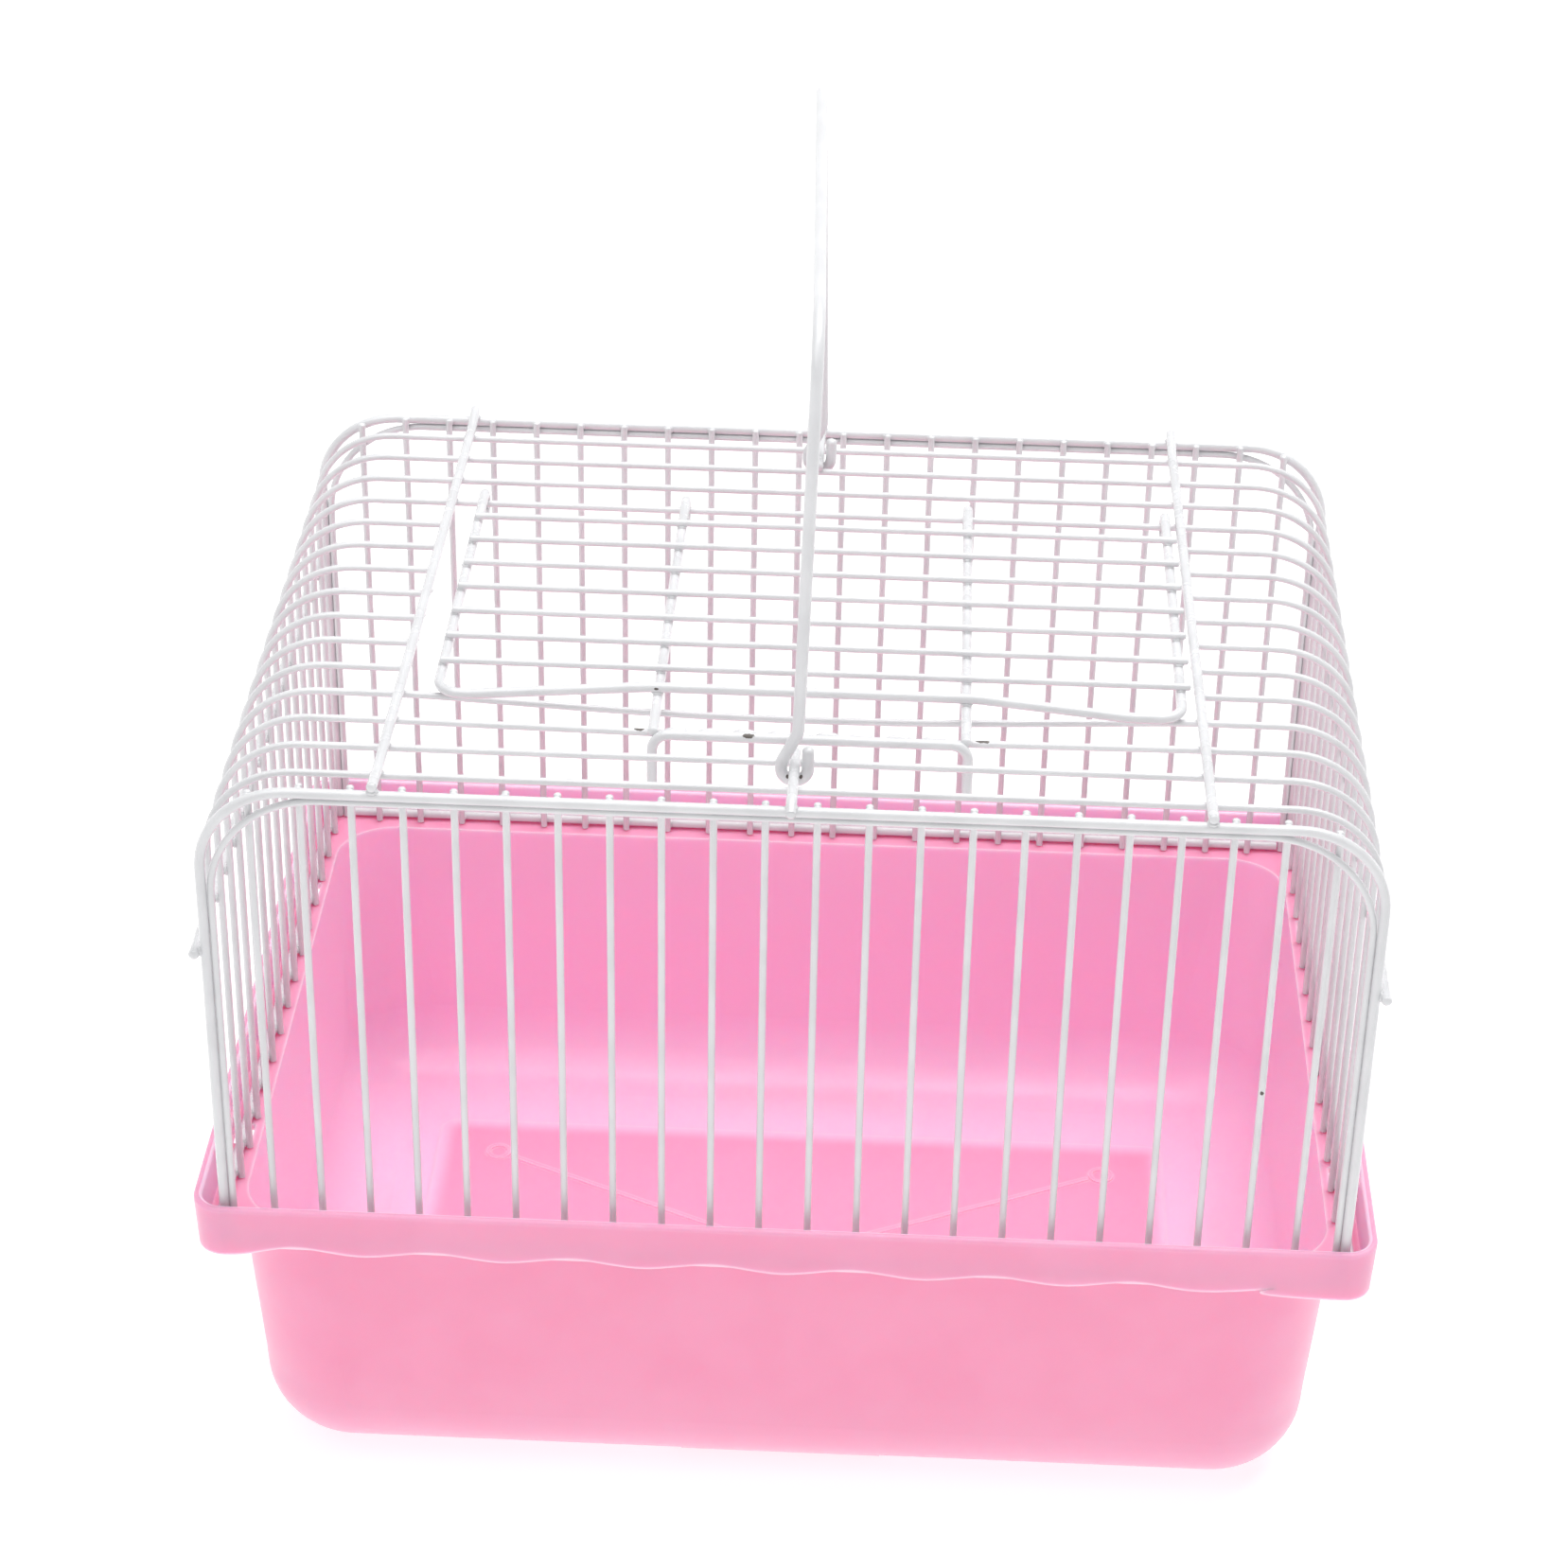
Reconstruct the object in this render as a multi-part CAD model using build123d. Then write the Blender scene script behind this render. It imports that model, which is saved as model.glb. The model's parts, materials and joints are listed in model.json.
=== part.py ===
from build123d import *
import math
import os

# Small carrier for chicks and pet rodents: a moulded tray under a welded wire dome.
# Millimetres, +X to the carrier's right, +Y to its back, +Z up, the feet standing on Z = 0.

# Wire
THIN = 0.75            # radius of the bars, hoops and rungs
THICK = 1.05           # radius of the arches, rails, door frame and latch
GRIP = 1.2             # radius of the handle
TOUCH = 0.02           # space left where two wires of one body are welded
RUN = 0.35             # space left where a wire may move on another

# Tray
FOOT = 0.8
WALL = 1.8
LEDGE_Z = 67.4
LEDGE_T = 1.6
BASIN_TOP = (115.0, 79.0, 15.0)      # half width, half depth, corner radius outside
BASIN_LOW = (113.0, 77.0, 20.5)
BASIN_LOW_Z = 21.0
DRAFT = 2.5
BASIN_EDGE = 17.0
RIM = (121.8, 85.6, 6.5)
RIM_TOP_Z = LEDGE_Z + 8.8
SKIRT_Z = 64.2
SKIRT_DIP = 0.8
SKIRT_CREST = 2.5
WAVE_CUT = 2.6        # depth of the wavy cut, through the skirt alone
RIM_DRAFT = 2.6
WAVES_X = 8
WAVE_X = 28.9
WAVES_Y = 6
WAVE_Y = 26.6
SLOT = (4.1, 6.9)
SLOT_X = 117.1
SLOT_Y = 47.7
PANEL = (175.0, 94.0, 4.0)
RING = (72.5, 34.5)
FOOT_LENGTH = 43.5

# Dome
BAR_PITCH = 10.0
BARS = 22
BAR_Y = 80.0
FOOT_GAP = 0.3
HOOP_PITCH = 10.5
HOOPS = "abcdefghijklmno"
CUT_HOOPS = "efghijk"
HOOP_X = 115.0
HOOP_TOP = LEDGE_Z + 107.3
HOOP_BEND = 18.0
HOOP_SAG = {"l": 2.9, "m": 0.9}    # middles of two hoops, pressed down in front of the door
SAG_BEND = 900.0
ARCH_TOP = LEDGE_Z + 107.7
ARCH_Y = BAR_Y + THIN + THICK + TOUCH
INNER_Y = BAR_Y + 2 * THIN + TOUCH
INNER_DROP = THIN + THICK + TOUCH
INNER_BEND = 22.0
TIP = 0.7
RAIL_X = (80.5, 79.2)    # at the front and at the back, where the rails draw in
CUT_X = 79.95           # ends of the cut hoops, under the rails
RAIL_Z = HOOP_TOP + THIN + THICK + TOUCH
SIDE_RAIL_Z = LEDGE_Z + 70.3
SIDE_RAIL_END = 83.4
CLIMB_Y = 75.0          # where rails and anchors start to climb over the arches
CLIMB = 1.0

# Door, hinged on hoop d and closed over the cut hoops
DOOR_Z = HOOP_TOP + THIN + THICK + RUN
DOOR_LEFT = -72.6
DOOR_RIGHT = 76.3
DOOR_FRONT = -44.6
DOOR_BOW = 1.6            # how far the front wire bows back between its corners
ARM_X = (-28.4, 33.3)
RUNG_BACK = 28.5
RUNGS = 7
LATCH_X = (-28.5, 33.8)
LATCH_Y = -57.75
LATCH_FOOT = LEDGE_Z + 98.5

# Handle
GRIP_Y = (68.25, 66.0)    # front and back hook
GRIP_TOP = LEDGE_Z + 200.4
GRIP_LEAN = (2.8, -1.4)    # front and back end of the grip
GRIP_BEND = 14.0
HOOK = GRIP + THICK + RUN


def bent(points, radius):
    """A path through the points with each corner rounded to the radius, or to its own in a list."""
    points = [Vector(*point) for point in points]
    radii = radius if isinstance(radius, list) else [radius] * (len(points) - 2)
    edges, start = [], points[0]
    for before, corner, after, bend in zip(points, points[1:], points[2:], radii):
        back, on = (before - corner).normalized(), (after - corner).normalized()
        half = math.acos(max(-1.0, min(1.0, back.dot(on)))) / 2
        reach = bend / math.tan(half)
        first, last = corner + back * reach, corner + on * reach
        middle = corner + (back + on).normalized() * (bend / math.sin(half) - bend)
        if (first - start).length > 1e-4:
            edges.append(Line(start, first))
        edges.append(ThreePointArc(first, middle, last))
        start = last
    if (points[-1] - start).length > 1e-4:
        edges.append(Line(start, points[-1]))
    return Wire(edges)


def rod(path, radius):
    """A round wire of the radius swept along the path."""
    section = Plane(origin=path @ 0, z_dir=path % 0) * Circle(radius)
    return Solid(sweep(section, path=path, transition=Transition.ROUND).solid().wrapped)


def straight(start, end, radius):
    return rod(Wire([Line(start, end)]), radius)


def slab(half_x, half_y, corner, low, high, taper=0.0):
    """A rounded slab from low to high, drawn in by the taper as it rises."""
    outline = Plane.XY.offset(low) * RectangleRounded(2 * half_x, 2 * half_y, corner)
    return extrude(outline, amount=high - low, taper=taper)


def basin(inset):
    """The bowl under the ledge, shrunk by the inset on every side and on the floor."""
    top_x, top_y, top_corner = BASIN_TOP
    low_x, low_y, low_corner = BASIN_LOW
    low = Plane.XY.offset(BASIN_LOW_Z) * RectangleRounded(
        2 * (low_x - inset), 2 * (low_y - inset), low_corner - inset
    )
    top = Plane.XY.offset(LEDGE_Z) * RectangleRounded(
        2 * (top_x - inset), 2 * (top_y - inset), top_corner - inset
    )
    upper = loft([low, top], ruled=True)
    lower = extrude(low, amount=-(BASIN_LOW_Z - FOOT - inset), taper=DRAFT)
    lower = fillet(lower.faces().sort_by(Axis.Z)[0].edges(), BASIN_EDGE - inset)
    return upper + lower


def wave(count, pitch):
    """The wavy line of the skirt's lower edge, lowest at its corners, closed far below."""
    half = count * pitch / 2
    heights = [SKIRT_CREST if index % 2 else SKIRT_DIP for index in range(2 * count + 1)]
    heights[0] = heights[-1] = 0
    points = [(-half + index * pitch / 2, height) for index, height in enumerate(heights)]
    edge = Spline(points, tangents=[(1, 0), (1, 0)])
    border = Polyline(points[-1], (half, -5), (-half, -5), points[0])
    return make_face(Wire([*edge.edges(), *border.edges()]))


def tray():
    """The whole moulded tray: bowl, ledge, upstanding rim with its wavy skirt, nubs and feet."""
    rim_x, rim_y, corner = RIM
    drop = (RIM_TOP_Z - SKIRT_Z) * math.tan(math.radians(RIM_DRAFT))
    skirt = slab(rim_x - drop, rim_y - drop, corner - drop, SKIRT_Z, RIM_TOP_Z, -RIM_DRAFT)
    hollow = slab(
        rim_x - drop - WALL, rim_y - drop - WALL, corner - drop - WALL,
        SKIRT_Z, RIM_TOP_Z, -RIM_DRAFT,
    )
    ring = skirt - hollow
    crown = ring.faces().sort_by(Axis.Z)[-1]
    ring = fillet(crown.edges(), 0.7)
    for side in (-1, 1):
        across = Plane(origin=(0, side * rim_y, SKIRT_Z), x_dir=(1, 0, 0), z_dir=(0, -1, 0))
        ring -= extrude(across * wave(WAVES_X, WAVE_X), amount=WAVE_CUT, both=True)
        along = Plane(origin=(side * rim_x, 0, SKIRT_Z), x_dir=(0, 1, 0), z_dir=(1, 0, 0))
        ring -= extrude(along * wave(WAVES_Y, WAVE_Y), amount=WAVE_CUT, both=True)
    shelf = slab(rim_x - 1.2, rim_y - 1.2, corner - 1.2, LEDGE_Z - LEDGE_T, LEDGE_Z)
    body = ring + shelf + basin(0)
    body -= basin(WALL)
    floor = FOOT + WALL
    panel_x, panel_y, panel_corner = PANEL
    body += slab(panel_x / 2, panel_y / 2, panel_corner, floor - 0.2, floor + 0.4)
    ring_x, ring_y = RING
    turn = math.degrees(math.atan2(ring_y, ring_x))
    for side in (-1, 1):
        rib = Box(2 * math.hypot(ring_x, ring_y) - 7, 1.2, 0.6)
        body += Pos(0, 0, floor + 0.5) * Rot(0, 0, side * turn) * rib
        for end in (-1, 1):
            collar = Cylinder(3.0, 0.6) - Cylinder(2.0, 0.6)
            body += Pos(side * ring_x, end * ring_y, floor + 0.5) * collar
            body -= Pos(side * SLOT_X, end * SLOT_Y, LEDGE_Z) * Box(SLOT[0], SLOT[1], 6)
            nub = Box(1.6, SLOT[1] - 0.6, 1.6)
            body += Pos(side * (rim_x - WALL - 0.35), end * SLOT_Y, LEDGE_Z + 4.2) * nub
        reach_y = BASIN_LOW[1] - BASIN_EDGE * 0.55 - 2
        reach_x = BASIN_LOW[0] - BASIN_EDGE * 0.55 - 2
        body += Pos(0, side * (reach_y - 4), 1.2) * Box(FOOT_LENGTH, 8, 2.4)
        body += Pos(side * (reach_x - 4), 0, 1.2) * Box(8, FOOT_LENGTH, 2.4)
    return body


def hoop_path(half_x, top, bend, y, half=None):
    """The arched line of a hoop or arch, whole or only its left or right half."""
    low = LEDGE_Z + FOOT_GAP
    if half is None:
        corners = [(-half_x, y, low), (-half_x, y, top), (half_x, y, top), (half_x, y, low)]
    else:
        corners = [(half * half_x, y, low), (half * half_x, y, top)]
        corners.append((half * CUT_X, y, top))
    return bent(corners, bend)


def sagging_hoop(y, sag):
    """A whole hoop whose top is bowed down between the rails by the sag."""
    low, reach = LEDGE_Z + FOOT_GAP, RAIL_X[1] - 3.0
    slope = sag / (reach - SAG_BEND * sag / reach / 2)
    middle = HOOP_TOP - reach * slope
    corners = [
        (-HOOP_X, y, low), (-HOOP_X, y, HOOP_TOP), (-reach, y, HOOP_TOP), (0, y, middle),
        (reach, y, HOOP_TOP), (HOOP_X, y, HOOP_TOP), (HOOP_X, y, low),
    ]
    return bent(corners, [HOOP_BEND, 200.0, SAG_BEND, 200.0, HOOP_BEND])


def hoop(letter):
    y = (7 - HOOPS.index(letter)) * HOOP_PITCH
    if letter in HOOP_SAG:
        return [rod(sagging_hoop(y, HOOP_SAG[letter]), THIN)]
    halves = (-1, 1) if letter in CUT_HOOPS else (None,)
    return [rod(hoop_path(HOOP_X, HOOP_TOP, HOOP_BEND, y, half), THIN) for half in halves]


def arch_height(x):
    """Height of the outer arch's centre line at x, round its bend."""
    past = abs(x) - (HOOP_X - HOOP_BEND)
    if past <= 0:
        return ARCH_TOP
    return ARCH_TOP - HOOP_BEND + math.sqrt(HOOP_BEND**2 - past**2)


def bars(side):
    """The upright bars of the front or back, their tips just over the arch."""
    rods = []
    for index in range(BARS):
        x = (index - (BARS - 1) / 2) * BAR_PITCH
        low, high = (x, side * BAR_Y, LEDGE_Z + FOOT_GAP), (x, side * BAR_Y, arch_height(x) + TIP)
        rods.append(straight(low, high, THIN))
    return rods


def top_rail(side):
    """A rail over the hoops that climbs onto the arch at each end."""
    front, back = RAIL_X
    points = [
        (side * back, ARCH_Y + 0.9, RAIL_Z + CLIMB),
        (side * back, CLIMB_Y, RAIL_Z),
        (side * front, -CLIMB_Y, RAIL_Z),
        (side * front, -ARCH_Y - 0.9, RAIL_Z + CLIMB),
    ]
    return [rod(bent(points, 12.0), THICK)]


def foot_rails():
    z = LEDGE_Z + FOOT_GAP + THICK
    reach = HOOP_X - 2 * THIN - THICK - 0.3
    out = HOOP_X + THIN + THICK + TOUCH
    ends = BAR_Y + 0.6
    return {
        "front_foot_rail": [straight((-reach, -ARCH_Y, z), (reach, -ARCH_Y, z), THICK)],
        "back_foot_rail": [straight((-reach, ARCH_Y, z), (reach, ARCH_Y, z), THICK)],
        "left_foot_rail": [straight((-out, -ends, z), (-out, ends, z), THICK)],
        "right_foot_rail": [straight((out, -ends, z), (out, ends, z), THICK)],
    }


def side_rail(side):
    x = side * (HOOP_X + 2 * THICK + TOUCH)
    return [straight((x, -SIDE_RAIL_END, SIDE_RAIL_Z), (x, SIDE_RAIL_END, SIDE_RAIL_Z), THICK)]


def anchor(side):
    """The short wire that the handle hooks round, over the end hoops and down past the arch."""
    points = [
        (0, side * 62.0, RAIL_Z),
        (0, side * CLIMB_Y, RAIL_Z),
        (0, side * (ARCH_Y + 0.8), RAIL_Z + CLIMB),
        (0, side * 84.9, RAIL_Z - 0.1),
    ]
    return [rod(bent(points, [12.0, 3.0]), THICK)]


def hinge_curl(x):
    """Points' arc of a wire curled round hoop d, from under it to its top."""
    y, turn = (7 - HOOPS.index("d")) * HOOP_PITCH, DOOR_Z - HOOP_TOP
    lean = math.radians(215)
    end = (x, y + turn * math.sin(lean), HOOP_TOP + turn * math.cos(lean))
    return ThreePointArc(end, (x, y + turn, HOOP_TOP), (x, y, DOOR_Z))


def door_frame():
    """The door's border: two sides curled round the hinge hoop and a bowed front."""
    back = (7 - HOOPS.index("d")) * HOOP_PITCH
    over = DOOR_Z + 2 * THICK + 0.06
    left, right = ARM_X
    line = bent(
        [
            (DOOR_LEFT, back, DOOR_Z),
            (DOOR_LEFT, DOOR_FRONT, DOOR_Z),
            (DOOR_LEFT + 7.5, DOOR_FRONT, DOOR_Z + 0.1),
            (left - 2, DOOR_FRONT + DOOR_BOW, over),
            (right + 2, DOOR_FRONT + DOOR_BOW, over),
            (right + 32, DOOR_FRONT, DOOR_Z + 0.1),
            (DOOR_RIGHT, DOOR_FRONT, DOOR_Z),
            (DOOR_RIGHT, back, DOOR_Z),
        ],
        [5.0, 40.0, 30.0, 30.0, 40.0, 5.0],
    )
    curls = [hinge_curl(DOOR_LEFT), hinge_curl(DOOR_RIGHT)]
    return [rod(Wire([*curls[0].edges(), *line.edges(), *curls[1].edges()]), THICK)]


def door_arm(x):
    """An inner arm of the door, from the hinge hoop to the latch."""
    back = (7 - HOOPS.index("d")) * HOOP_PITCH
    front = LATCH_Y + THICK + TOUCH
    line = Line((x, back, DOOR_Z), (x, front, DOOR_Z))
    return [rod(Wire([*hinge_curl(x).edges(), *line.edges()]), THICK)]


def door_rung(index):
    y, z = RUNG_BACK - index * HOOP_PITCH, DOOR_Z + THICK + THIN + TOUCH
    return [straight((DOOR_LEFT - 0.2, y, z), (DOOR_RIGHT + 1.6, y, z), THIN)]


def latch_loop():
    """The sprung loop that drops between two front hoops and holds the door shut."""
    left, right = LATCH_X
    corners = [
        (left, LATCH_Y, LATCH_FOOT),
        (left, LATCH_Y, DOOR_Z),
        (right, LATCH_Y, DOOR_Z),
        (right, LATCH_Y, LATCH_FOOT),
    ]
    return [rod(bent(corners, 3.5), THICK)]


def handle():
    """The bail: one wire with a hook at each end, which hangs on the two anchors."""
    foot = RAIL_Z - HOOK

    def end(y, lean):
        return [
            (HOOK, y, RAIL_Z + 4.1),
            (HOOK, y, foot),
            (-HOOK, y, foot),
            (-HOOK, y, RAIL_Z + 1.4),
            (0.6, y, RAIL_Z + 8.0),
            (lean, y, GRIP_TOP),
        ]

    front, back = GRIP_Y
    points = end(-front, GRIP_LEAN[0]) + end(back, GRIP_LEAN[1])[::-1]
    bends = [HOOK - 0.02, HOOK - 0.02, 3.0, 6.0, GRIP_BEND]
    return [rod(bent(points, bends + bends[::-1]), GRIP)]


def nodes():
    """Every named piece of the carrier and its solids."""
    yield "tray", [tray()]
    yield "front_bars", bars(-1)
    yield "back_bars", bars(1)
    for letter in HOOPS:
        yield f"hoop_{letter}", hoop(letter)
    for name, side in (("front", -1), ("back", 1)):
        outer = hoop_path(HOOP_X, ARCH_TOP, HOOP_BEND, side * ARCH_Y)
        inner = hoop_path(
            HOOP_X - INNER_DROP, ARCH_TOP - INNER_DROP, INNER_BEND, side * INNER_Y
        )
        yield f"{name}_arch", [rod(outer, THICK)]
        yield f"{name}_inner_arch", [rod(inner, THIN)]
        yield f"{name}_anchor", anchor(side)
    for name, side in (("left", -1), ("right", 1)):
        yield f"{name}_top_rail", top_rail(side)
        yield f"{name}_side_rail", side_rail(side)
    yield from foot_rails().items()
    yield "door_frame", door_frame()
    yield "door_arm_left", door_arm(ARM_X[0])
    yield "door_arm_right", door_arm(ARM_X[1])
    for index in range(RUNGS):
        yield f"door_rung_{index + 1}", door_rung(index)
    yield "latch_loop", latch_loop()
    yield "handle", handle()


os.makedirs("parts", exist_ok=True)
for name, solids in nodes():
    export_step(Compound(children=solids) if len(solids) > 1 else solids[0], f"parts/{name}.step")
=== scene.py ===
import json
import logging
import math
import random
from collections.abc import Iterable, Iterator
from dataclasses import dataclass, field
from enum import Enum

import bmesh
import bpy
from mathutils import Euler, Matrix, Vector


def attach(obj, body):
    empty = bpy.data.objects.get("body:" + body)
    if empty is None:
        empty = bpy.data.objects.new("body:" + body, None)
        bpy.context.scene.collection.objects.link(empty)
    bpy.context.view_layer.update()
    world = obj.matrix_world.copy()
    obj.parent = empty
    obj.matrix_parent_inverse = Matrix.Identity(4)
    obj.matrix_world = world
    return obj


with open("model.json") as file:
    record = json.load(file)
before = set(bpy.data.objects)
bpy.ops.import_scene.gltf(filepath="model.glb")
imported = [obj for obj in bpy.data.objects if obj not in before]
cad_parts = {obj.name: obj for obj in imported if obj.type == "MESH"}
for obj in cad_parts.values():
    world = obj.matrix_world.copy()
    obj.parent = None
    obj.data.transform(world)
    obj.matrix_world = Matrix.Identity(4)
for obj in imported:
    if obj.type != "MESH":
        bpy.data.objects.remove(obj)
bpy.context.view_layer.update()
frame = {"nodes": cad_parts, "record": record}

LOG = logging.getLogger("carrier")
MM = 0.001
SEED = 7


class Body(Enum):
    """The moving bodies of the carrier."""

    TRAY = "tray"
    CAGE = "cage"
    DOOR = "door"
    HANDLE = "handle"


class Slot(Enum):
    """The finishes that the carrier's record names."""

    PLASTIC = "pink_plastic"
    WIRE = "white_wire"
    HANDLE = "handle_wire"


# ---------------------------------------------------------------- node helpers


@dataclass
class Graph:
    """A node tree with short calls to add and join nodes."""

    tree: bpy.types.NodeTree

    def add(self, kind: str, inputs: dict | None = None, **settings: object) -> bpy.types.Node:
        """Adds a node.

        Args:
            kind: Blender's type name of the node.
            inputs: Constants or sockets for its inputs, by name or place.
            settings: Attributes set on the node before its inputs.

        Returns:
            The new node.
        """
        node = self.tree.nodes.new(kind)
        for name, value in settings.items():
            setattr(node, name, value)
        for key, value in (inputs or {}).items():
            if isinstance(value, bpy.types.NodeSocket):
                self.tree.links.new(value, node.inputs[key])
            else:
                node.inputs[key].default_value = value
        return node

    def maths(self, operation: str, *values: object, clamp: bool = False) -> bpy.types.NodeSocket:
        """Adds a Math node.

        Args:
            operation: Blender's name of the operation.
            values: Its operands, numbers or sockets.
            clamp: Whether the result is held between 0 and 1.

        Returns:
            The result's socket.
        """
        inputs = dict(enumerate(values))
        return self.add("ShaderNodeMath", inputs, operation=operation, use_clamp=clamp).outputs[0]

    def blend(self, amount: object, first: object, second: object) -> bpy.types.NodeSocket:
        """Mixes two colours.

        Args:
            amount: The share of the second colour.
            first: The first colour or socket.
            second: The second colour or socket.

        Returns:
            The mixed colour's socket.
        """
        node = self.add("ShaderNodeMix", data_type="RGBA")
        for key, value in ((0, amount), (6, first), (7, second)):
            if isinstance(value, bpy.types.NodeSocket):
                self.tree.links.new(value, node.inputs[key])
            else:
                node.inputs[key].default_value = value
        return node.outputs[2]

    def ramp(self, value: bpy.types.NodeSocket, low: float, high: float) -> bpy.types.NodeSocket:
        """Maps a value smoothly to 0 at the low end and 1 at the high end.

        Args:
            value: The value's socket.
            low: Where the result is 0.
            high: Where the result is 1.

        Returns:
            The mapped value's socket.
        """
        inputs = {0: value, 1: low, 2: high}
        return self.add("ShaderNodeMapRange", inputs, interpolation_type="SMOOTHSTEP").outputs[0]


def new_group(name: str, inputs: dict[str, tuple[str, object]], outputs: dict[str, str]) -> tuple:
    """Starts a shader node group.

    Args:
        name: The group's name.
        inputs: Each input's socket type and default.
        outputs: Each output's socket type.

    Returns:
        The graph, its input node and its output node.
    """
    tree = bpy.data.node_groups.new(name, "ShaderNodeTree")
    for label, (kind, default) in inputs.items():
        socket = tree.interface.new_socket(label, in_out="INPUT", socket_type=kind)
        if default is not None:
            socket.default_value = default
    for label, kind in outputs.items():
        tree.interface.new_socket(label, in_out="OUTPUT", socket_type=kind)
    graph = Graph(tree)
    return graph, graph.add("NodeGroupInput"), graph.add("NodeGroupOutput")


class Effects:
    """The shader node groups that several finishes share."""

    def __init__(self) -> None:
        """Builds every group once."""
        self.grain = self._grain()
        self.edge = self._edge()
        self.dust = self._dust()
        self.spot = self._spot()

    def _grain(self) -> bpy.types.NodeTree:
        """The gentle unevenness of a coated or moulded surface, and its height."""
        graph, given, out = new_group(
            "surface_grain",
            {"Vector": ("NodeSocketVector", None), "Scale": ("NodeSocketFloat", 100.0)},
            {"Height": "NodeSocketFloat", "Variation": "NodeSocketFloat"},
        )
        fine = graph.add(
            "ShaderNodeTexNoise",
            {"Vector": given.outputs[0], "Scale": given.outputs[1], "Detail": 3.0},
        )
        coarse_scale = graph.maths("MULTIPLY", given.outputs[1], 0.12)
        broad = graph.add(
            "ShaderNodeTexNoise",
            {"Vector": given.outputs[0], "Scale": coarse_scale, "Detail": 2.0},
        )
        links = graph.tree.links
        links.new(fine.outputs[0], out.inputs[0])
        links.new(graph.ramp(broad.outputs[0], 0.35, 0.65), out.inputs[1])
        return graph.tree

    def _edge(self) -> bpy.types.NodeTree:
        """A mask of the rounded edges, where a bevelled normal leaves the true one; the plastic
        gets its painted highlight there.
        """
        graph, given, out = new_group(
            "edge_highlight_line", {"Radius": ("NodeSocketFloat", 0.001)}, {"Mask": "NodeSocketFloat"}
        )
        bevel = graph.add("ShaderNodeBevel", {"Radius": given.outputs[0]}, samples=6)
        normal = graph.add("ShaderNodeNewGeometry").outputs["Normal"]
        alike = graph.add(
            "ShaderNodeVectorMath", {0: bevel.outputs[0], 1: normal}, operation="DOT_PRODUCT"
        ).outputs["Value"]
        graph.tree.links.new(graph.ramp(alike, 0.995, 0.90), out.inputs[0])
        return graph.tree

    def _dust(self) -> bpy.types.NodeTree:
        """A broken film of dust on what faces up."""
        graph, given, out = new_group(
            "dust_film", {"Vector": ("NodeSocketVector", None)}, {"Mask": "NodeSocketFloat"}
        )
        noise = graph.add(
            "ShaderNodeTexNoise", {"Vector": given.outputs[0], "Scale": 260.0, "Detail": 4.0}
        )
        normal = graph.add("ShaderNodeNewGeometry").outputs["Normal"]
        rise = graph.add("ShaderNodeSeparateXYZ", {0: normal}).outputs[2]
        patches = graph.ramp(noise.outputs[0], 0.48, 0.72)
        film = graph.maths("MULTIPLY", patches, graph.ramp(rise, 0.2, 0.9))
        graph.tree.links.new(film, out.inputs[0])
        return graph.tree

    def _spot(self) -> bpy.types.NodeTree:
        """A ragged spot round a centre, as where paint has chipped."""
        graph, given, out = new_group(
            "paint_chip",
            {
                "Vector": ("NodeSocketVector", None),
                "Centre": ("NodeSocketVector", (0.0, 0.0, 0.0)),
                "Reach": ("NodeSocketVector", (0.001, 0.001, 0.001)),
            },
            {"Mask": "NodeSocketFloat"},
        )
        away = graph.add(
            "ShaderNodeVectorMath",
            {0: given.outputs[0], 1: given.outputs[1]},
            operation="SUBTRACT",
        ).outputs[0]
        scaled = graph.add(
            "ShaderNodeVectorMath", {0: away, 1: given.outputs[2]}, operation="DIVIDE"
        ).outputs[0]
        distance = graph.add(
            "ShaderNodeVectorMath", {0: scaled}, operation="LENGTH"
        ).outputs["Value"]
        noise = graph.add(
            "ShaderNodeTexNoise", {"Vector": given.outputs[0], "Scale": 1500.0, "Detail": 2.0}
        )
        ragged = graph.maths("MULTIPLY_ADD", noise.outputs[0], 0.9, distance)
        graph.tree.links.new(graph.ramp(ragged, 1.5, 1.25), out.inputs[0])
        return graph.tree


# ---------------------------------------------------------------- finishes


@dataclass(frozen=True)
class Chip:
    """A place where the coating is chipped to the dark steel, in millimetres."""

    centre: tuple[float, float, float]
    reach: tuple[float, float, float]


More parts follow.
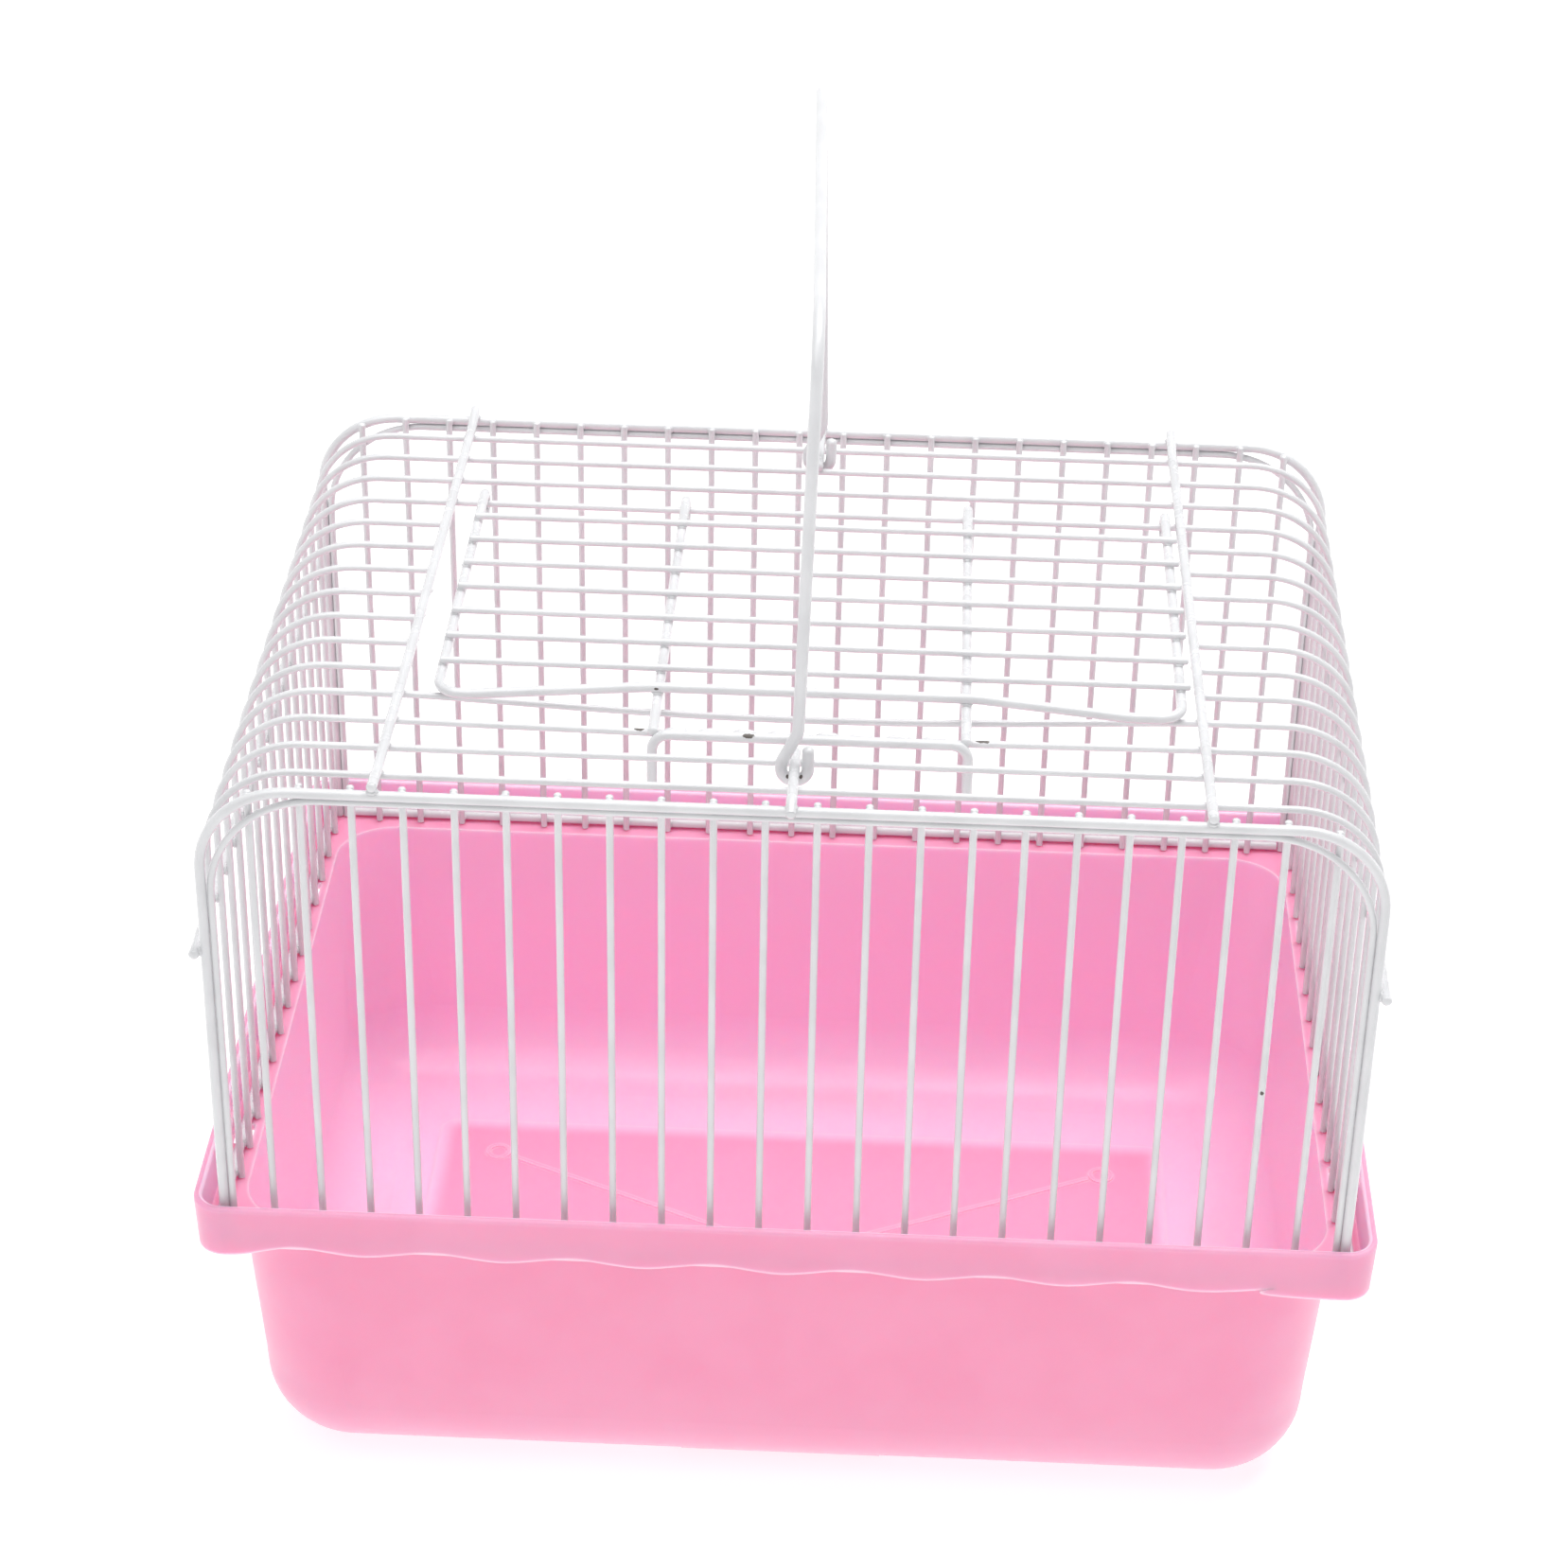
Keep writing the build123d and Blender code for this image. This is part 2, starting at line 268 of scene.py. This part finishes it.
@dataclass(frozen=True)
class MouldedPlastic:
    """Semi-gloss moulded plastic, a little see-through, with painted light: lighter along its
    edges as a painted highlight, lighter towards the floor, and given lit copies of its pink
    inside the tray.
    """

    name: str = "moulded_pink_plastic"
    body: tuple[float, float, float, float] = (0.86, 0.36, 0.53, 1.0)
    deep: tuple[float, float, float, float] = (0.85, 0.34, 0.51, 1.0)
    # Painted light: the pale pink of the painted edge highlight and of the lower body, painted
    # lighter towards the bright floor.
    light: tuple[float, float, float, float] = (0.97, 0.68, 0.79, 1.0)
    # Painted light: a lit copy of the pink for the tray's inside walls and floor, lighter than the
    # outside.
    lit_inside: tuple[float, float, float, float] = (0.99, 0.58, 0.745, 1.0)
    # Painted light: the floor panel's own lit copy of the pink, deeper than the lit inside walls.
    floor: tuple[float, float, float, float] = (0.98, 0.37, 0.55, 1.0)
    panel: tuple[float, float] = (87.5 * MM, 47.0 * MM)
    panel_soft: float = 5.0 * MM
    panel_top: float = 12.0 * MM
    # Painted light: heights over which the lower body is painted lighter towards the floor, and
    # how much.
    foot_light_fade: tuple[float, float] = (34.0 * MM, 1.0 * MM)
    foot_light_share: float = 0.30
    # Painted highlight: how much pale pink goes on the rounded edges.
    edge_highlight_share: float = 0.65
    roughness: float = 0.34
    dust_rough: float = 0.12
    bump: float = 0.05
    bump_depth: float = 0.1 * MM
    glow: float = 0.75
    glow_reach: tuple[float, float, float] = (1.0, 0.45, 0.55)
    glow_depth: float = 6.0 * MM
    gloss: float = 0.15
    grain_scale: float = 420.0
    edge_radius: float = 1.3 * MM

    def build(self, effects: Effects) -> bpy.types.Material:
        """Makes the material.

        Args:
            effects: The shared node groups.

        Returns:
            The finished material.
        """
        material, graph, shader = new_material(self.name)
        place = graph.add("ShaderNodeTexCoord").outputs["Object"]
        grain = graph.add("ShaderNodeGroup", node_tree=effects.grain)
        graph.tree.links.new(place, grain.inputs[0])
        grain.inputs[1].default_value = self.grain_scale
        edge = graph.add("ShaderNodeGroup", node_tree=effects.edge)
        edge.inputs[0].default_value = self.edge_radius
        dust = graph.add("ShaderNodeGroup", node_tree=effects.dust)
        graph.tree.links.new(place, dust.inputs[0])
        axes = graph.add("ShaderNodeSeparateXYZ", {0: place}).outputs
        height = axes[2]
        # Painted light: the lower body is made lighter towards the floor.
        low = graph.maths("MULTIPLY", graph.ramp(height, *self.foot_light_fade), self.foot_light_share)
        colour = graph.blend(grain.outputs[1], self.body, self.deep)
        colour = graph.blend(low, colour, self.light)
        # Painted light: lit copies of the pink on the tray's inside walls and floor.
        colour = graph.blend(self._lit_inside_mask(graph, place, height), colour, self.lit_inside)
        # Painted light: the floor panel's own lit pink.
        colour = graph.blend(self._lit_panel_mask(graph, axes), colour, self.floor)
        # Painted highlight along the rounded edges.
        line = graph.maths("MULTIPLY", edge.outputs[0], self.edge_highlight_share)
        colour = graph.blend(line, colour, self.light)
        rough = graph.maths("MULTIPLY_ADD", dust.outputs[0], self.dust_rough, self.roughness)
        bump = graph.add("ShaderNodeBump", {"Strength": self.bump, "Distance": self.bump_depth})
        graph.tree.links.new(grain.outputs[0], bump.inputs["Height"])
        links = graph.tree.links
        links.new(colour, shader.inputs["Base Color"])
        links.new(rough, shader.inputs["Roughness"])
        links.new(bump.outputs[0], shader.inputs["Normal"])
        shader.inputs["Subsurface Weight"].default_value = self.glow
        shader.inputs["Subsurface Radius"].default_value = self.glow_reach
        shader.inputs["Subsurface Scale"].default_value = self.glow_depth
        shader.inputs["Coat Weight"].default_value = self.gloss
        return material

    def _lit_inside_mask(
        self, graph: Graph, place: bpy.types.NodeSocket, height: bpy.types.NodeSocket
    ) -> bpy.types.NodeSocket:
        """Masks the walls that face the middle of the tray, and its floor, which get a painted lit
        copy of the pink.

        Args:
            graph: The material's graph.
            place: The Object coordinates.
            height: Their height.

        Returns:
            The mask's socket.
        """
        level = graph.add(
            "ShaderNodeVectorMath", {0: place, 1: (1.0, 1.0, 0.0)}, operation="MULTIPLY"
        )
        normal = graph.add("ShaderNodeNewGeometry").outputs["Normal"]
        outward = graph.add(
            "ShaderNodeVectorMath", {0: level.outputs[0], 1: normal}, operation="DOT_PRODUCT"
        ).outputs["Value"]
        rise = graph.add("ShaderNodeSeparateXYZ", {0: normal}).outputs[2]
        walls = graph.ramp(outward, 0.0, -0.02)
        floor = graph.maths("MULTIPLY", graph.ramp(rise, 0.2, 0.7), graph.ramp(height, 0.06, 0.05))
        return graph.maths("MAXIMUM", walls, floor)

    def _lit_panel_mask(self, graph: Graph, axes: object) -> bpy.types.NodeSocket:
        """Masks the raised floor panel, which gets its own painted light, deeper in colour than
        the lit walls.

        Args:
            graph: The material's graph.
            axes: The outputs with the Object coordinates' three values.

        Returns:
            The mask's socket.
        """
        mask = graph.ramp(axes[2], self.panel_top, self.panel_top / 2)
        for axis, reach in enumerate(self.panel):
            away = graph.maths("ABSOLUTE", axes[axis])
            mask = graph.maths("MULTIPLY", mask, graph.ramp(away, reach, reach - self.panel_soft))
        return mask


@dataclass(frozen=True)
class CoatedWire:
    """Glossy white coating on steel wire, with a few chips and grey scuffs at its welds."""

    name: str
    coat: tuple[float, float, float, float] = (0.74, 0.745, 0.76, 1.0)
    shade: tuple[float, float, float, float] = (0.69, 0.695, 0.71, 1.0)
    steel: tuple[float, float, float, float] = (0.10, 0.085, 0.075, 1.0)
    scuff: tuple[float, float, float, float] = (0.36, 0.36, 0.36, 1.0)
    roughness: float = 0.24
    grain_scale: float = 700.0
    dust_rough: float = 0.15
    bare_rough: float = 0.45
    bump: float = 0.22
    bump_depth: float = 0.08 * MM
    gloss: float = 0.5
    gloss_rough: float = 0.12
    scuffs: float = 0.0
    scuff_scale: float = 190.0
    chips: tuple[Chip, ...] = ()

    def build(self, effects: Effects) -> bpy.types.Material:
        """Makes the material.

        Args:
            effects: The shared node groups.

        Returns:
            The finished material.
        """
        material, graph, shader = new_material(self.name)
        links = graph.tree.links
        place = graph.add("ShaderNodeTexCoord").outputs["Object"]
        grain = graph.add("ShaderNodeGroup", node_tree=effects.grain)
        links.new(place, grain.inputs[0])
        grain.inputs[1].default_value = self.grain_scale
        dust = graph.add("ShaderNodeGroup", node_tree=effects.dust)
        links.new(place, dust.inputs[0])
        marks = graph.add(
            "ShaderNodeTexNoise", {"Vector": place, "Scale": self.scuff_scale, "Detail": 3.0}
        ).outputs[0]
        marks = graph.maths("MULTIPLY", graph.ramp(marks, 0.69, 0.74), self.scuffs)
        colour = graph.blend(grain.outputs[1], self.coat, self.shade)
        colour = graph.blend(marks, colour, self.scuff)
        rough = graph.maths("MULTIPLY_ADD", dust.outputs[0], self.dust_rough, self.roughness)
        if self.chips:
            bare = self._bare(graph, place, effects)
            colour = graph.blend(bare, colour, self.steel)
            rough = graph.maths("MULTIPLY_ADD", bare, self.bare_rough, rough)
        bump = graph.add("ShaderNodeBump", {"Strength": self.bump, "Distance": self.bump_depth})
        links.new(grain.outputs[0], bump.inputs["Height"])
        links.new(colour, shader.inputs["Base Color"])
        links.new(rough, shader.inputs["Roughness"])
        links.new(bump.outputs[0], shader.inputs["Normal"])
        shader.inputs["Coat Weight"].default_value = self.gloss
        shader.inputs["Coat Roughness"].default_value = self.gloss_rough
        return material

    def _bare(
        self, graph: Graph, place: bpy.types.NodeSocket, effects: Effects
    ) -> bpy.types.NodeSocket:
        """Joins the masks of all the chips.

        Args:
            graph: The material's graph.
            place: The Object coordinates.
            effects: The shared node groups.

        Returns:
            The mask's socket.
        """
        masks = []
        for chip in self.chips:
            spot = graph.add("ShaderNodeGroup", node_tree=effects.spot)
            graph.tree.links.new(place, spot.inputs[0])
            spot.inputs[1].default_value = [value * MM for value in chip.centre]
            spot.inputs[2].default_value = [value * MM for value in chip.reach]
            masks.append(spot.outputs[0])
        bare = masks[0]
        for mask in masks[1:]:
            bare = graph.maths("MAXIMUM", bare, mask)
        return bare


def new_material(name: str) -> tuple[bpy.types.Material, Graph, bpy.types.Node]:
    """Starts a node material.

    Args:
        name: The material's name.

    Returns:
        The material, its graph and its Principled shader.
    """
    material = bpy.data.materials.new(name)
    material.use_nodes = True
    graph = Graph(material.node_tree)
    return material, graph, material.node_tree.nodes["Principled BSDF"]


# ---------------------------------------------------------------- mesh helpers


@dataclass(frozen=True)
class Bead:
    """A small rounded lump: a weld, a wire's rounded tip or a run of paint, in millimetres."""

    centre: tuple[float, float, float]
    radii: tuple[float, float, float]
    turn: tuple[float, float, float] = (0.0, 0.0, 0.0)


def bead_piece(
    name: str, beads: Iterable[Bead], material: bpy.types.Material, body: Body, slot: Slot
) -> bpy.types.Object:
    """Makes one piece of many beads.

    Args:
        name: The piece's name.
        beads: The beads.
        material: Their finish.
        body: The body that they move with.
        slot: The record's finish; not used.

    Returns:
        The piece's object.
    """
    shape = bmesh.new()
    for bead in beads:
        place = Matrix.Translation([value * MM for value in bead.centre])
        turn = Euler(bead.turn).to_matrix().to_4x4()
        size = Matrix.Diagonal([*(value * MM for value in bead.radii), 1.0])
        bmesh.ops.create_icosphere(shape, subdivisions=2, radius=1.0, matrix=place @ turn @ size)
    for face in shape.faces:
        face.smooth = True
    mesh = bpy.data.meshes.new(name)
    shape.to_mesh(mesh)
    shape.free()
    mesh.materials.append(material)
    piece = bpy.data.objects.new(name, mesh)
    bpy.context.scene.collection.objects.link(piece)
    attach(piece, body.value)
    LOG.info("%s: %d faces on %s", name, len(mesh.polygons), body.value)
    return piece


def dress(names: Iterable[str], material: bpy.types.Material) -> None:
    """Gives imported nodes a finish.

    Args:
        names: The nodes' names.
        material: The finish.
    """
    for name in names:
        node = frame["nodes"][name]
        node.data.materials.clear()
        node.data.materials.append(material)
        LOG.info("%s: dressed in %s", name, material.name)


# ---------------------------------------------------------------- sub-assemblies


@dataclass
class Tray:
    """The moulded tray."""

    finish: MouldedPlastic = field(default_factory=MouldedPlastic)

    def dress(self, effects: Effects) -> None:
        """Gives the tray its plastic."""
        dress(["tray"], self.finish.build(effects))


@dataclass
class Cage:
    """The welded dome: bars, hoops, arches, rails and anchors. Sizes are in millimetres."""

    thin: float = 0.75
    thick: float = 1.05
    ledge: float = 67.4
    bar_pitch: float = 10.0
    bars: int = 22
    bar_y: float = 80.0
    bar_tip: float = 0.7
    hoop_pitch: float = 10.5
    hoops: int = 15
    hoop_x: float = 115.0
    hoop_bend: float = 18.0
    arch_y: float = 81.82
    side_rail_x: float = 117.12
    side_rail_end: float = 83.4
    side_rail_rise: float = 70.3
    rail_front: tuple[float, float] = (80.5, -82.72)
    rail_back: tuple[float, float] = (79.2, 82.72)
    climb: float = 1.0
    cut_x: float = 79.95
    cut_hoops: range = range(4, 11)
    anchor_start: float = 62.0
    anchor_end: tuple[float, float] = (84.9, -0.1)
    finish: CoatedWire = CoatedWire(
        name="white_wire_coating",
        chips=(
            Chip((-31.4, -52.5, 174.9), (1.1, 0.6, 0.6)),
            Chip((36.6, -52.5, 174.9), (1.5, 0.55, 0.55)),
            Chip((95.0, -80.7, 112.5), (0.4, 0.4, 0.5)),
        ),
    )
    weld: CoatedWire = CoatedWire(name="weld_coating", scuffs=0.6, roughness=0.3)

    @property
    def hoop_top(self) -> float:
        """Height of the hoops' centre lines on top."""
        return self.ledge + 107.3

    @property
    def arch_top(self) -> float:
        """Height of the outer arches' centre lines on top."""
        return self.ledge + 107.7

    @property
    def rail_z(self) -> float:
        """Height of the top rails' centre lines."""
        return self.hoop_top + self.thin + self.thick + 0.02

    @property
    def side_rail_z(self) -> float:
        """Height of the side rails' centre lines."""
        return self.ledge + self.side_rail_rise

    def hoop_ys(self) -> list[float]:
        """Every hoop's place from back to front."""
        return [(self.hoops // 2 - index) * self.hoop_pitch for index in range(self.hoops)]

    def bar_xs(self) -> list[float]:
        """Every upright bar's place from left to right."""
        return [(index - (self.bars - 1) / 2) * self.bar_pitch for index in range(self.bars)]

    def rail_x(self, y: float) -> float:
        """Distance of a top rail from the middle.

        Args:
            y: Where along the rail.

        Returns:
            The distance.
        """
        (front, start), (back, end) = self.rail_front, self.rail_back
        return front + (back - front) * (y - start) / (end - start)

    def arch_height(self, x: float) -> float:
        """Height of an outer arch.

        Args:
            x: Where across the arch.

        Returns:
            The height of its centre line.
        """
        past = abs(x) - (self.hoop_x - self.hoop_bend)
        if past <= 0:
            return self.arch_top
        return self.arch_top - self.hoop_bend + math.sqrt(self.hoop_bend**2 - past**2)

    def bar_welds(self, rng: random.Random) -> Iterator[Bead]:
        """Beads where the bars meet the arches and the foot rails."""
        for side in (-1, 1):
            for x in self.bar_xs():
                heights = (self.arch_height(x), self.ledge + 0.3 + self.thick)
                for height in heights:
                    size = rng.uniform(0.9, 1.15)
                    yield Bead(
                        (x + rng.uniform(-0.1, 0.1), side * (self.bar_y + 0.78), height),
                        (1.0 * size, 0.55, 0.95 * size),
                    )

    def hoop_welds(self, rng: random.Random) -> Iterator[Bead]:
        """Beads where the hoops meet the rails on top, at the sides and at the foot."""
        for y in self.hoop_ys():
            for side in (-1, 1):
                size = rng.uniform(0.9, 1.2)
                top = (side * self.rail_x(y), y, self.hoop_top + 0.77)
                yield Bead(top, (0.95 * size, 1.0 * size, 0.5))
                for height in (self.side_rail_z, self.ledge + 0.3 + self.thick):
                    size = rng.uniform(0.9, 1.15)
                    place = (side * (self.hoop_x + 0.9), y, height)
                    yield Bead(place, (0.5, 1.0 * size, 0.95 * size))

    def joint_welds(self) -> Iterator[Bead]:
        """Bigger beads where thick wires meet: rails, arches and anchors."""
        for front in (-1, 1):
            for side in (-1, 1):
                x = self.rail_x(front * self.arch_y)
                yield Bead(
                    (side * x, front * self.arch_y, self.arch_top + 1.06), (1.25, 1.3, 0.6)
                )
                yield Bead(
                    (side * (self.hoop_x + self.thick), front * self.arch_y, self.side_rail_z),
                    (0.6, 1.2, 1.2),
                )
            yield Bead((0.0, front * self.arch_y, self.arch_top + 1.06), (1.3, 1.3, 0.65))
            for y in (63.0, 73.5):
                yield Bead((0.0, front * y, self.hoop_top + 0.78), (1.1, 1.05, 0.5))

    def bar_tips(self) -> Iterator[Bead]:
        """Rounded tips of the upright bars."""
        for side in (-1, 1):
            for x in self.bar_xs():
                tip = self.arch_height(x) + self.bar_tip
                yield Bead((x, side * self.bar_y, tip), (self.thin, self.thin, 0.4))

    def wire_tips(self) -> Iterator[Bead]:
        """Rounded tips of the rails, the anchors and the cut hoops."""
        thick, thin = self.thick, self.thin
        for side in (-1, 1):
            (front_x, front_y), (back_x, back_y) = self.rail_front, self.rail_back
            for x, y in ((front_x, front_y), (back_x, back_y)):
                yield Bead((side * x, y, self.rail_z + self.climb), (thick, 0.55, thick))
            for end in (-1, 1):
                y = end * self.side_rail_end
                yield Bead((side * self.side_rail_x, y, self.side_rail_z), (thick, 0.55, thick))
            end, drop = self.anchor_end
            yield Bead((0.0, side * self.anchor_start, self.rail_z), (thick, 0.55, thick))
            yield Bead((0.0, side * end, self.rail_z + drop), (thick, 0.6, thick))
            for index in self.cut_hoops:
                y = self.hoop_ys()[index]
                yield Bead((side * self.cut_x, y, self.hoop_top), (0.35, thin, thin))

    def paint_lumps(self, rng: random.Random) -> Iterator[Bead]:
        """Runs of thick paint on the hoop behind the latch."""
        for x in (-24.0, -17.5, -10.5, -3.5, 6.0, 12.5, 20.0, 27.0):
            height = self.hoop_top - 0.45 + 0.004 * abs(x) + rng.uniform(0.0, 0.25)
            yield Bead((x, -52.5, height), (rng.uniform(2.2, 3.2), 1.0, 1.15))

    def build(self, effects: Effects) -> None:
        """Makes the welds and tips, and dresses every wire of the dome.

        Args:
            effects: The shared node groups.
        """
        rng = random.Random(SEED)
        coat, weld = self.finish.build(effects), self.weld.build(effects)
        dress(frame["record"]["behaviour"]["bodies"][Body.CAGE.value], coat)
        pieces = {
            "bar_welds": (self.bar_welds(rng), weld),
            "hoop_welds": (self.hoop_welds(rng), weld),
            "joint_welds": (self.joint_welds(), weld),
            "bar_tips": (self.bar_tips(), coat),
            "cage_wire_tips": (self.wire_tips(), coat),
            "paint_lumps": (self.paint_lumps(rng), coat),
        }
        for name, (beads, material) in pieces.items():
            bead_piece(name, beads, material, Body.CAGE, Slot.WIRE)


@dataclass
class Door:
    """The hinged top door with its latch loop. Sizes are in millimetres."""

    thin: float = 0.75
    thick: float = 1.05
    hoop_top: float = 174.7
    left: float = -72.6
    right: float = 76.3
    front: float = -43.0
    arms: tuple[float, float] = (-28.4, 33.3)
    rung_back: float = 28.5
    rung_pitch: float = 10.5
    rungs: int = 7
    rung_ends: tuple[float, float] = (-72.8, 77.9)
    latch_y: float = -57.75
    latch_feet: tuple[float, float] = (-28.5, 33.8)
    latch_foot: float = 165.9
    finish: CoatedWire = CoatedWire(
        name="door_wire_coating",
        chips=(
            Chip((-9.5, -58.3, 177.6), (1.3, 0.6, 0.5)),
            Chip((-28.6, -44.0, 179.2), (0.5, 0.4, 0.3)),
            Chip((-28.6, -58.6, 172.2), (0.4, 0.4, 0.5)),
        ),
    )
    weld: CoatedWire = CoatedWire(name="door_weld_coating", scuffs=0.7, roughness=0.3)

    @property
    def level(self) -> float:
        """Height of the door frame's centre line."""
        return self.hoop_top + self.thin + self.thick + 0.35

    def rung_ys(self) -> list[float]:
        """Every rung's place from back to front."""
        return [self.rung_back - index * self.rung_pitch for index in range(self.rungs)]

    def welds(self, rng: random.Random) -> Iterator[Bead]:
        """Beads where rungs, arms, border and latch meet."""
        for y in self.rung_ys():
            for x in (self.left, *self.arms, self.right):
                size = rng.uniform(0.9, 1.15)
                yield Bead((x, y, self.level + 1.07), (1.0 * size, 0.95 * size, 0.5))
        for x in self.arms:
            yield Bead((x, self.front, self.level + 1.08), (1.3, 1.25, 0.6))
            yield Bead((x, self.latch_y + 1.05, self.level), (1.2, 0.6, 1.1))

    def tips(self) -> Iterator[Bead]:
        """Rounded tips of the rungs and the latch loop."""
        height = self.level + self.thick + self.thin + 0.02
        for y in self.rung_ys():
            for x in self.rung_ends:
                yield Bead((x, y, height), (0.4, self.thin, self.thin))
        for x in self.latch_feet:
            yield Bead((x, self.latch_y, self.latch_foot), (self.thick, self.thick, 0.55))

    def build(self, effects: Effects) -> None:
        """Makes the welds and tips, and dresses every wire of the door.

        Args:
            effects: The shared node groups.
        """
        rng = random.Random(SEED + 1)
        coat, weld = self.finish.build(effects), self.weld.build(effects)
        dress(frame["record"]["behaviour"]["bodies"][Body.DOOR.value], coat)
        bead_piece("door_welds", self.welds(rng), weld, Body.DOOR, Slot.WIRE)
        bead_piece("door_wire_tips", self.tips(), coat, Body.DOOR, Slot.WIRE)


@dataclass
class Handle:
    """The swinging bail. Sizes are in millimetres."""

    grip: float = 1.2
    hook: float = 2.6
    hook_ys: tuple[float, float] = (-68.25, 66.0)
    tip_z: float = 180.62
    finish: CoatedWire = CoatedWire(
        name="handle_wire_coating",
        roughness=0.28,
        chips=(
            Chip((-1.2, -69.2, 175.3), (0.45, 0.4, 0.45)),
            Chip((1.3, -69.2, 175.3), (0.4, 0.4, 0.45)),
        ),
    )

    def tips(self) -> Iterator[Bead]:
        """Rounded tips of the two hooks."""
        for y in self.hook_ys:
            yield Bead((self.hook, y, self.tip_z), (self.grip, self.grip, 0.9))

    def build(self, effects: Effects) -> None:
        """Makes the tips and dresses the bail.

        Args:
            effects: The shared node groups.
        """
        coat = self.finish.build(effects)
        dress(["handle"], coat)
        bead_piece("handle_tips", self.tips(), coat, Body.HANDLE, Slot.HANDLE)


# ---------------------------------------------------------------- studio


@dataclass
class Studio:
    """The pale floor, the soft lights and the camera."""

    camera_place: tuple[float, float, float] = (0.0194429, -0.7013126, 0.5609817)
    look_down: float = 0.5496
    look_left: float = 0.0338
    roll: float = 0.0198
    lens: float = 87.63
    floor_size: float = 12.0
    sky_low: float = 0.95
    sky_high: float = 0.36
    sky_fade: tuple[float, float] = (0.12, 0.30)
    floor_glow: float = 1.15
    key_power: float = 8.0
    top_power: float = 25.0

    def floor(self) -> None:
        """Lays the pale floor."""
        shape = bmesh.new()
        bmesh.ops.create_grid(shape, x_segments=1, y_segments=1, size=self.floor_size / 2)
        mesh = bpy.data.meshes.new("studio_floor")
        shape.to_mesh(mesh)
        shape.free()
        material, graph, shader = new_material("studio_floor_paint")
        place = graph.add("ShaderNodeTexCoord").outputs["Object"]
        noise = graph.add("ShaderNodeTexNoise", {"Vector": place, "Scale": 3.0}).outputs[0]
        tint = graph.blend(noise, (0.56, 0.56, 0.56, 1.0), (0.58, 0.58, 0.58, 1.0))
        graph.tree.links.new(tint, shader.inputs["Base Color"])
        graph.tree.links.new(tint, shader.inputs["Emission Color"])
        shader.inputs["Emission Strength"].default_value = self.floor_glow
        shader.inputs["Roughness"].default_value = 0.9
        shader.inputs["Specular IOR Level"].default_value = 0.1
        mesh.materials.append(material)
        floor = bpy.data.objects.new("studio_floor", mesh)
        bpy.context.scene.collection.objects.link(floor)

    def light(
        self,
        name: str,
        place: tuple[float, float, float],
        aim: tuple[float, float, float],
        size: float,
        power: float,
    ) -> None:
        """Hangs a soft square light.

        Args:
            name: The light's name.
            place: Where it hangs, in metres.
            aim: What it points at.
            size: Its side in metres.
            power: Its power in watts.
        """
        data = bpy.data.lights.new(name, "AREA")
        data.shape, data.size, data.energy = "SQUARE", size, power
        lamp = bpy.data.objects.new(name, data)
        lamp.location = place
        lamp.rotation_euler = (Vector(aim) - Vector(place)).to_track_quat("-Z", "Y").to_euler()
        bpy.context.scene.collection.objects.link(lamp)

    def build(self) -> None:
        """Makes the floor, lights, sky and camera."""
        scene = bpy.context.scene
        scene.view_settings.view_transform = "Standard"
        world = bpy.data.worlds.new("studio_sky")
        world.use_nodes = True
        sky = Graph(world.node_tree)
        place = sky.add("ShaderNodeTexCoord").outputs["Generated"]
        rise = sky.add("ShaderNodeSeparateXYZ", {0: place}).outputs[2]
        low, high = self.sky_low, self.sky_high
        background = sky.tree.nodes["Background"]
        strength = sky.maths("MULTIPLY_ADD", sky.ramp(rise, *self.sky_fade), high - low, low)
        sky.tree.links.new(strength, background.inputs[1])
        background.inputs[0].default_value = (1.0, 1.0, 1.0, 1.0)
        scene.world = world
        self.floor()
        middle = (0.0, 0.0, 0.1)
        self.light("key_light", (-0.5, -0.5, 1.5), middle, 1.2, self.key_power)
        self.light("top_light", (0.3, 0.4, 1.6), middle, 1.4, self.top_power)
        data = bpy.data.cameras.new("camera")
        data.lens, data.sensor_width = self.lens, 36.0
        camera = bpy.data.objects.new("camera", data)
        turn = Matrix.Rotation(self.look_left, 4, "Z")
        turn @= Matrix.Rotation(math.pi / 2 - self.look_down, 4, "X")
        turn @= Matrix.Rotation(self.roll, 4, "Z")
        camera.matrix_world = Matrix.Translation(self.camera_place) @ turn
        scene.collection.objects.link(camera)
        scene.camera = camera
        LOG.info("studio: floor, lights and camera made")


def main() -> None:
    """Builds the carrier's looks in order."""
    logging.basicConfig(level=logging.INFO, format="%(name)s %(message)s")
    effects = Effects()
    Tray().dress(effects)
    Cage().build(effects)
    Door().build(effects)
    Handle().build(effects)
    Studio().build()


if __name__ == "__main__":
    main()
